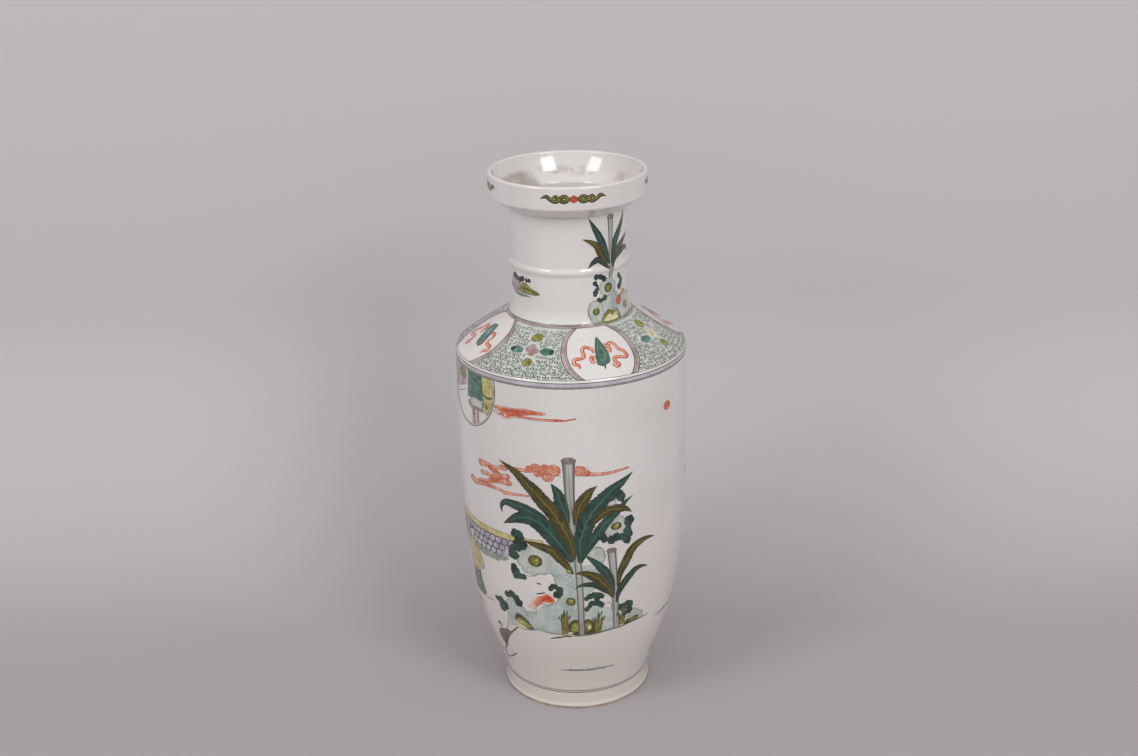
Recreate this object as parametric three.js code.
// A rouleau-form porcelain vase, built from the thrown sections that its potter lutes together.
// Millimetres, +Z up, with the origin at the centre of the foot, on the surface it stands on.
import * as THREE from 'three';

// Facets round each turned section, and halvings that find a height on the body's curve
const FACETS = 48;
const HALVINGS = 40;

// Foot ring and the floor let into it
const FOOT_HEIGHT = 14.2;
const FOOT_RADIUS = 62.2;
const FOOT_WAIST_RADIUS = 61.3;
const FOOT_BEAD_HEIGHT = 4;
const FOOT_EDGE_BEVEL = 0.8;
const FOOT_RIM_WIDTH = 9.5;
const FOOT_INNER_SLOPE = 1.5;
const RECESS_DEPTH = 7.2;
const FLOOR_THICKNESS = 7;
const FLOOR_LEDGE = 3.5;
const FLOOR_CLEARANCE = 0.3;

// Body, from the foot line up to the shoulder, in two thrown halves
const BODY_HEIGHT = 287.9;
const BELLY_HEIGHT = 240;
const BELLY_RADIUS = 93.9;
const BODY_TOP_DRAW_IN = 0.7;
const FOOT_FLARE_OUT = 16.7;
const FOOT_FLARE_UP = 60;
const BELLY_RUN_DOWN = 189;
const BODY_JOINT_HEIGHT = 141;
const BODY_WALL = 5;
const HEEL_WALL = 11.5;
const HEEL_HEIGHT = 16;

// Shoulder
const SHOULDER_HEIGHT = 33.7;
const SHOULDER_BAND_HEIGHT = 2.9;
const SHOULDER_EDGE_RADIUS = 5;
const SHOULDER_SLOPE_BOW = 0.8;
const SHOULDER_WALL = 6;

// Neck, with its turned rib
const NECK_BASE_RADIUS = 50;
const NECK_RADIUS = 46.5;
const NECK_FLARE_HEIGHT = 14;
const NECK_TOP_RADIUS = 47.2;
const NECK_WALL = 5;
const LOWER_NECK_HEIGHT = 36.2;
const UPPER_NECK_HEIGHT = 50.5;
const RIB_CENTRE_HEIGHT = 6;
const RIB_HEIGHT = 8;
const RIB_PROUD = 1.2;

// Mouth dish
const MOUTH_RADIUS = 62.6;
const MOUTH_HEIGHT = 27.5;
const MOUTH_BAND_HEIGHT = 19.5;
const MOUTH_BAND_LEAN = 0.2;
const MOUTH_CORNER_RADIUS = 2.5;
const LIP_RADIUS = 1.8;
const DISH_WALL_TILT = 26;
const DISH_CORNER_RADIUS = 6;
const DISH_FLOOR_RISE = 10;
const THROAT_RISE = 4.5;
const THROAT_RADIUS = 3;

// Heights of the joints
const bodyFootZ = FOOT_HEIGHT;
const bodyJointZ = bodyFootZ + BODY_JOINT_HEIGHT;
const bodyTopZ = bodyFootZ + BODY_HEIGHT;
const shoulderTopZ = bodyTopZ + SHOULDER_HEIGHT;
const neckJointZ = shoulderTopZ + LOWER_NECK_HEIGHT;
const mouthFootZ = neckJointZ + UPPER_NECK_HEIGHT;
const mouthTopZ = mouthFootZ + MOUTH_HEIGHT;

// The widest radius under the shoulder
const bodyTopRadius = BELLY_RADIUS - BODY_TOP_DRAW_IN;

// The swell of the body, from the foot line to the belly, as radius and height above the foot line
const swell = new THREE.CubicBezierCurve(
  at(FOOT_WAIST_RADIUS, 0),
  at(FOOT_WAIST_RADIUS + FOOT_FLARE_OUT, FOOT_FLARE_UP),
  at(BELLY_RADIUS, BELLY_HEIGHT - BELLY_RUN_DOWN),
  at(BELLY_RADIUS, BELLY_HEIGHT),
);

// Finishes
const glaze = new THREE.MeshStandardMaterial({ color: 0xdcd7d3, roughness: 0.12, metalness: 0 });

// A point of a profile: radius and height
function at(radius, z) {
  return new THREE.Vector2(radius, z);
}

// Points on a circular arc, from one angle to another in degrees
function arc(centreRadius, centreZ, radius, fromDegrees, toDegrees, steps) {
  const points = [];
  for (let i = 0; i <= steps; i++) {
    const angle = THREE.MathUtils.degToRad(fromDegrees + ((toDegrees - fromDegrees) * i) / steps);
    points.push(at(centreRadius + radius * Math.cos(angle), centreZ + radius * Math.sin(angle)));
  }
  return points;
}

// Points along a radius that is a function of height
function run(radiusAt, fromZ, toZ, steps) {
  const points = [];
  for (let i = 0; i <= steps; i++) {
    const z = fromZ + ((toZ - fromZ) * i) / steps;
    points.push(at(radiusAt(z), z));
  }
  return points;
}

// A turned section: the outside from its foot up, then the inside from its top down
function turned(name, outside, inside) {
  const profile = [...outside, ...inside];
  profile.push(profile[0].clone());
  const geometry = new THREE.LatheGeometry(profile, FACETS);
  geometry.rotateX(Math.PI / 2);
  const mesh = new THREE.Mesh(geometry, glaze);
  mesh.name = name;
  return mesh;
}

// The outside of the body: it swells from the foot to the belly, then draws in a little
function bodyRadius(z) {
  const height = z - bodyFootZ;
  if (height >= BELLY_HEIGHT) {
    const above = (height - BELLY_HEIGHT) / (BODY_HEIGHT - BELLY_HEIGHT);
    return BELLY_RADIUS - BODY_TOP_DRAW_IN * above ** 2;
  }
  let low = 0;
  let high = 1;
  for (let i = 0; i < HALVINGS; i++) {
    const middle = (low + high) / 2;
    if (swell.getPoint(middle).y < height) low = middle;
    else high = middle;
  }
  return swell.getPoint(low).x;
}

// The inside of the body, thicker at the heel
function bodyInnerRadius(z) {
  const heel = Math.max(0, 1 - (z - bodyFootZ) / HEEL_HEIGHT);
  return bodyRadius(z) - BODY_WALL - (HEEL_WALL - BODY_WALL) * heel ** 2;
}

// The outside of the neck, without its rib: flared at the shoulder, opening a little upwards
function neckRadius(z) {
  const height = z - shoulderTopZ;
  const flare = Math.max(0, 1 - height / NECK_FLARE_HEIGHT);
  const rise = height / (LOWER_NECK_HEIGHT + UPPER_NECK_HEIGHT);
  const straight = NECK_RADIUS + (NECK_TOP_RADIUS - NECK_RADIUS) * rise ** 2;
  return straight + (NECK_BASE_RADIUS - NECK_RADIUS) * flare ** 2;
}

function neckInnerRadius(z) {
  return neckRadius(z) - NECK_WALL;
}

// Foot ring, with a ledge inside that carries the floor
function footRing() {
  const innerFoot = FOOT_RADIUS - FOOT_RIM_WIDTH;
  const innerTop = innerFoot - FOOT_INNER_SLOPE;
  const outside = [
    at(FOOT_RADIUS - FOOT_EDGE_BEVEL, 0),
    at(FOOT_RADIUS, FOOT_EDGE_BEVEL),
    at(FOOT_RADIUS, FOOT_BEAD_HEIGHT / 2),
    at(FOOT_WAIST_RADIUS, FOOT_BEAD_HEIGHT),
    at(FOOT_WAIST_RADIUS, FOOT_HEIGHT),
  ];
  const inside = [
    at(innerTop + FLOOR_LEDGE, FOOT_HEIGHT),
    at(innerTop + FLOOR_LEDGE, RECESS_DEPTH),
    at(innerTop, RECESS_DEPTH),
    at(innerFoot, FOOT_EDGE_BEVEL),
    at(innerFoot + FOOT_EDGE_BEVEL, 0),
  ];
  return turned('foot_ring', outside, inside);
}

// Floor disc, resting on the ledge and trapped by the heel of the body
function baseFloor() {
  const edge = FOOT_RADIUS - FOOT_RIM_WIDTH - FOOT_INNER_SLOPE + FLOOR_LEDGE - FLOOR_CLEARANCE;
  const outside = [at(0, RECESS_DEPTH), at(edge, RECESS_DEPTH), at(edge, RECESS_DEPTH + FLOOR_THICKNESS)];
  return turned('base_floor', outside, [at(0, RECESS_DEPTH + FLOOR_THICKNESS)]);
}

function lowerBody() {
  const outside = run(bodyRadius, bodyFootZ, bodyJointZ, 9);
  const heelTopZ = bodyFootZ + HEEL_HEIGHT;
  const wall = run(bodyInnerRadius, bodyJointZ, heelTopZ, 5);
  const heel = run(bodyInnerRadius, heelTopZ, bodyFootZ, 3).slice(1);
  return turned('lower_body', outside, [...wall, ...heel]);
}

function upperBody() {
  const outside = run(bodyRadius, bodyJointZ, bodyTopZ, 6);
  const inside = run(bodyInnerRadius, bodyTopZ, bodyJointZ, 4);
  return turned('upper_body', outside, inside);
}

// Shoulder: a short upright band, a rounded edge and a slope up to the neck, slightly bowed
function shoulder() {
  const bandTopZ = bodyTopZ + SHOULDER_BAND_HEIGHT;
  const edgeCentre = at(bodyTopRadius - SHOULDER_EDGE_RADIUS, bandTopZ);
  const slope = Math.atan2(shoulderTopZ - bandTopZ, bodyTopRadius - NECK_BASE_RADIUS);
  const edgeTurn = 90 - THREE.MathUtils.radToDeg(slope);
  const edge = arc(edgeCentre.x, edgeCentre.y, SHOULDER_EDGE_RADIUS, 0, edgeTurn, 4);
  const edgeTop = edge[edge.length - 1];
  const rise = [];
  const steps = 5;
  for (let i = 1; i <= steps; i++) {
    const t = i / steps;
    const bow = 4 * SHOULDER_SLOPE_BOW * t * (1 - t);
    const radius = THREE.MathUtils.lerp(edgeTop.x, NECK_BASE_RADIUS, t) + bow * Math.sin(slope);
    rise.push(at(radius, THREE.MathUtils.lerp(edgeTop.y, shoulderTopZ, t) + bow * Math.cos(slope)));
  }
  const outside = [at(bodyTopRadius, bodyTopZ), ...edge, ...rise];
  const innerFoot = bodyInnerRadius(bodyTopZ);
  const innerTop = neckInnerRadius(shoulderTopZ);
  const drop = SHOULDER_WALL / Math.cos(slope);
  const inside = [
    at(innerTop, shoulderTopZ),
    at(innerTop, shoulderTopZ - drop),
    at(innerFoot - SHOULDER_EDGE_RADIUS, bandTopZ),
    at(innerFoot, bodyTopZ),
  ];
  return turned('shoulder', outside, inside);
}

function lowerNeck() {
  const outside = run(neckRadius, shoulderTopZ, neckJointZ, 7);
  const inside = run(neckInnerRadius, neckJointZ, shoulderTopZ, 5);
  return turned('lower_neck', outside, inside);
}

// Upper neck, which carries the turned rib
function upperNeck() {
  const ribCentreZ = neckJointZ + RIB_CENTRE_HEIGHT;
  const ribbed = (z) => {
    const off = (z - ribCentreZ) / (RIB_HEIGHT / 2);
    const share = Math.abs(off) < 1 ? Math.cos((off * Math.PI) / 2) : 0;
    return neckRadius(z) + RIB_PROUD * share;
  };
  const below = [at(neckRadius(neckJointZ), neckJointZ)];
  const rib = run(ribbed, ribCentreZ - RIB_HEIGHT / 2, ribCentreZ + RIB_HEIGHT / 2, 6);
  const above = run(neckRadius, ribCentreZ + RIB_HEIGHT / 2, mouthFootZ, 3).slice(1);
  const inside = run(neckInnerRadius, mouthFootZ, neckJointZ, 2);
  return turned('upper_neck', [...below, ...rib, ...above], inside);
}

// Mouth: a cavetto out of the neck, an upright band and a rounded lip round a shallow dish
function mouthDish() {
  const neckTop = neckRadius(mouthFootZ);
  const bandTopZ = mouthTopZ - LIP_RADIUS;
  const bandFootZ = mouthTopZ - MOUTH_BAND_HEIGHT;
  const cornerZ = bandFootZ + MOUTH_CORNER_RADIUS;
  const lowBandRadius = MOUTH_RADIUS - MOUTH_BAND_LEAN;
  const corner = arc(lowBandRadius - MOUTH_CORNER_RADIUS, cornerZ, MOUTH_CORNER_RADIUS, -65, 0, 3);
  const under = [];
  const steps = 4;
  for (let i = 0; i < steps; i++) {
    const t = i / steps;
    const z = THREE.MathUtils.lerp(mouthFootZ, corner[0].y, 1 - Math.cos((t * Math.PI) / 2) ** 1.4);
    under.push(at(THREE.MathUtils.lerp(neckTop, corner[0].x, t), z));
  }
  const lip = arc(MOUTH_RADIUS - LIP_RADIUS, bandTopZ, LIP_RADIUS, 0, 180, 8);
  const tilt = THREE.MathUtils.degToRad(DISH_WALL_TILT);
  const dishCornerZ = mouthFootZ + DISH_FLOOR_RISE + DISH_CORNER_RADIUS;
  const wallHeight = bandTopZ - dishCornerZ + DISH_CORNER_RADIUS * Math.sin(tilt);
  const wallFootRadius = MOUTH_RADIUS - 2 * LIP_RADIUS - wallHeight * Math.tan(tilt);
  const dishCornerRadius = wallFootRadius - DISH_CORNER_RADIUS * Math.cos(tilt);
  const dishCorner = arc(dishCornerRadius, dishCornerZ, DISH_CORNER_RADIUS, -DISH_WALL_TILT, -65, 3);
  const throat = neckInnerRadius(mouthFootZ);
  const throatEdge = arc(throat + THROAT_RADIUS, mouthFootZ + THROAT_RISE, THROAT_RADIUS, 115, 180, 4);
  const inside = [...dishCorner, ...throatEdge, at(throat, mouthFootZ)];
  return turned('mouth_dish', [...under, ...corner, ...lip], inside);
}

const vase = new THREE.Group();
vase.add(footRing(), baseFloor(), lowerBody(), upperBody(), shoulder(), lowerNeck(), upperNeck(), mouthDish());

export default vase;
